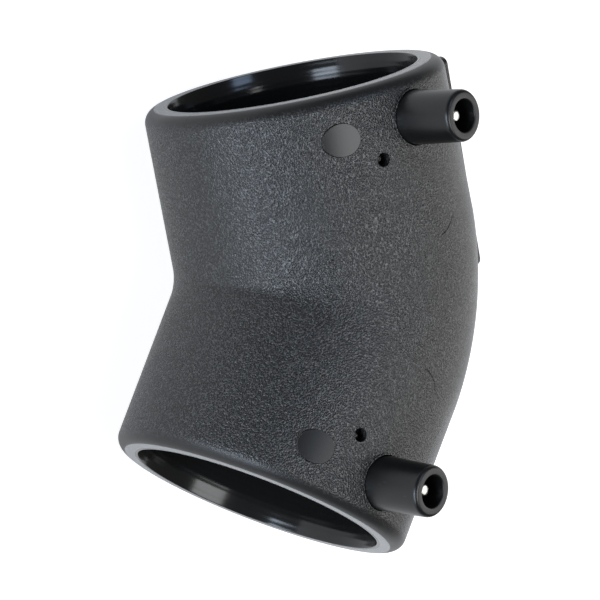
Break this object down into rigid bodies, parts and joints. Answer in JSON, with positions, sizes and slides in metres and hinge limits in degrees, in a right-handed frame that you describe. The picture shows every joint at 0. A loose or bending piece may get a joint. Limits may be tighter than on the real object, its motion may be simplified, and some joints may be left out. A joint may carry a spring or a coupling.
{
  "type": "electrofusion elbow",
  "caption": "Moulded bend for plastic pressure pipe: a socket with an embedded heating wire at each end, and a shrouded terminal pin on each socket.",
  "frame": {"origin": "centre of the mouth of socket A, on its axis, in the plane of its flat rim", "axes": "+Y along socket A's axis, out of its mouth; +Z along both terminal pins, towards their tips; the bend lies in the XY plane and turns towards -X"},
  "size_m": [0.1507, 0.1747, 0.1314],
  "materials": {
    "body": "fine moulded grain, satin",
    "shroud": "smooth, semi-gloss",
    "pin": "tin plated, bright",
    "wire": "copper, drawn"
  },
  "bodies": {
    "root": {"elbow_body": "body", "link_wire": "wire", "heating_coil_a": "wire", "heating_coil_b": "wire", "terminal_pin_a": "pin", "terminal_pin_b": "pin", "terminal_shroud_a": "shroud", "terminal_shroud_b": "shroud"}
  },
  "joints": []
}
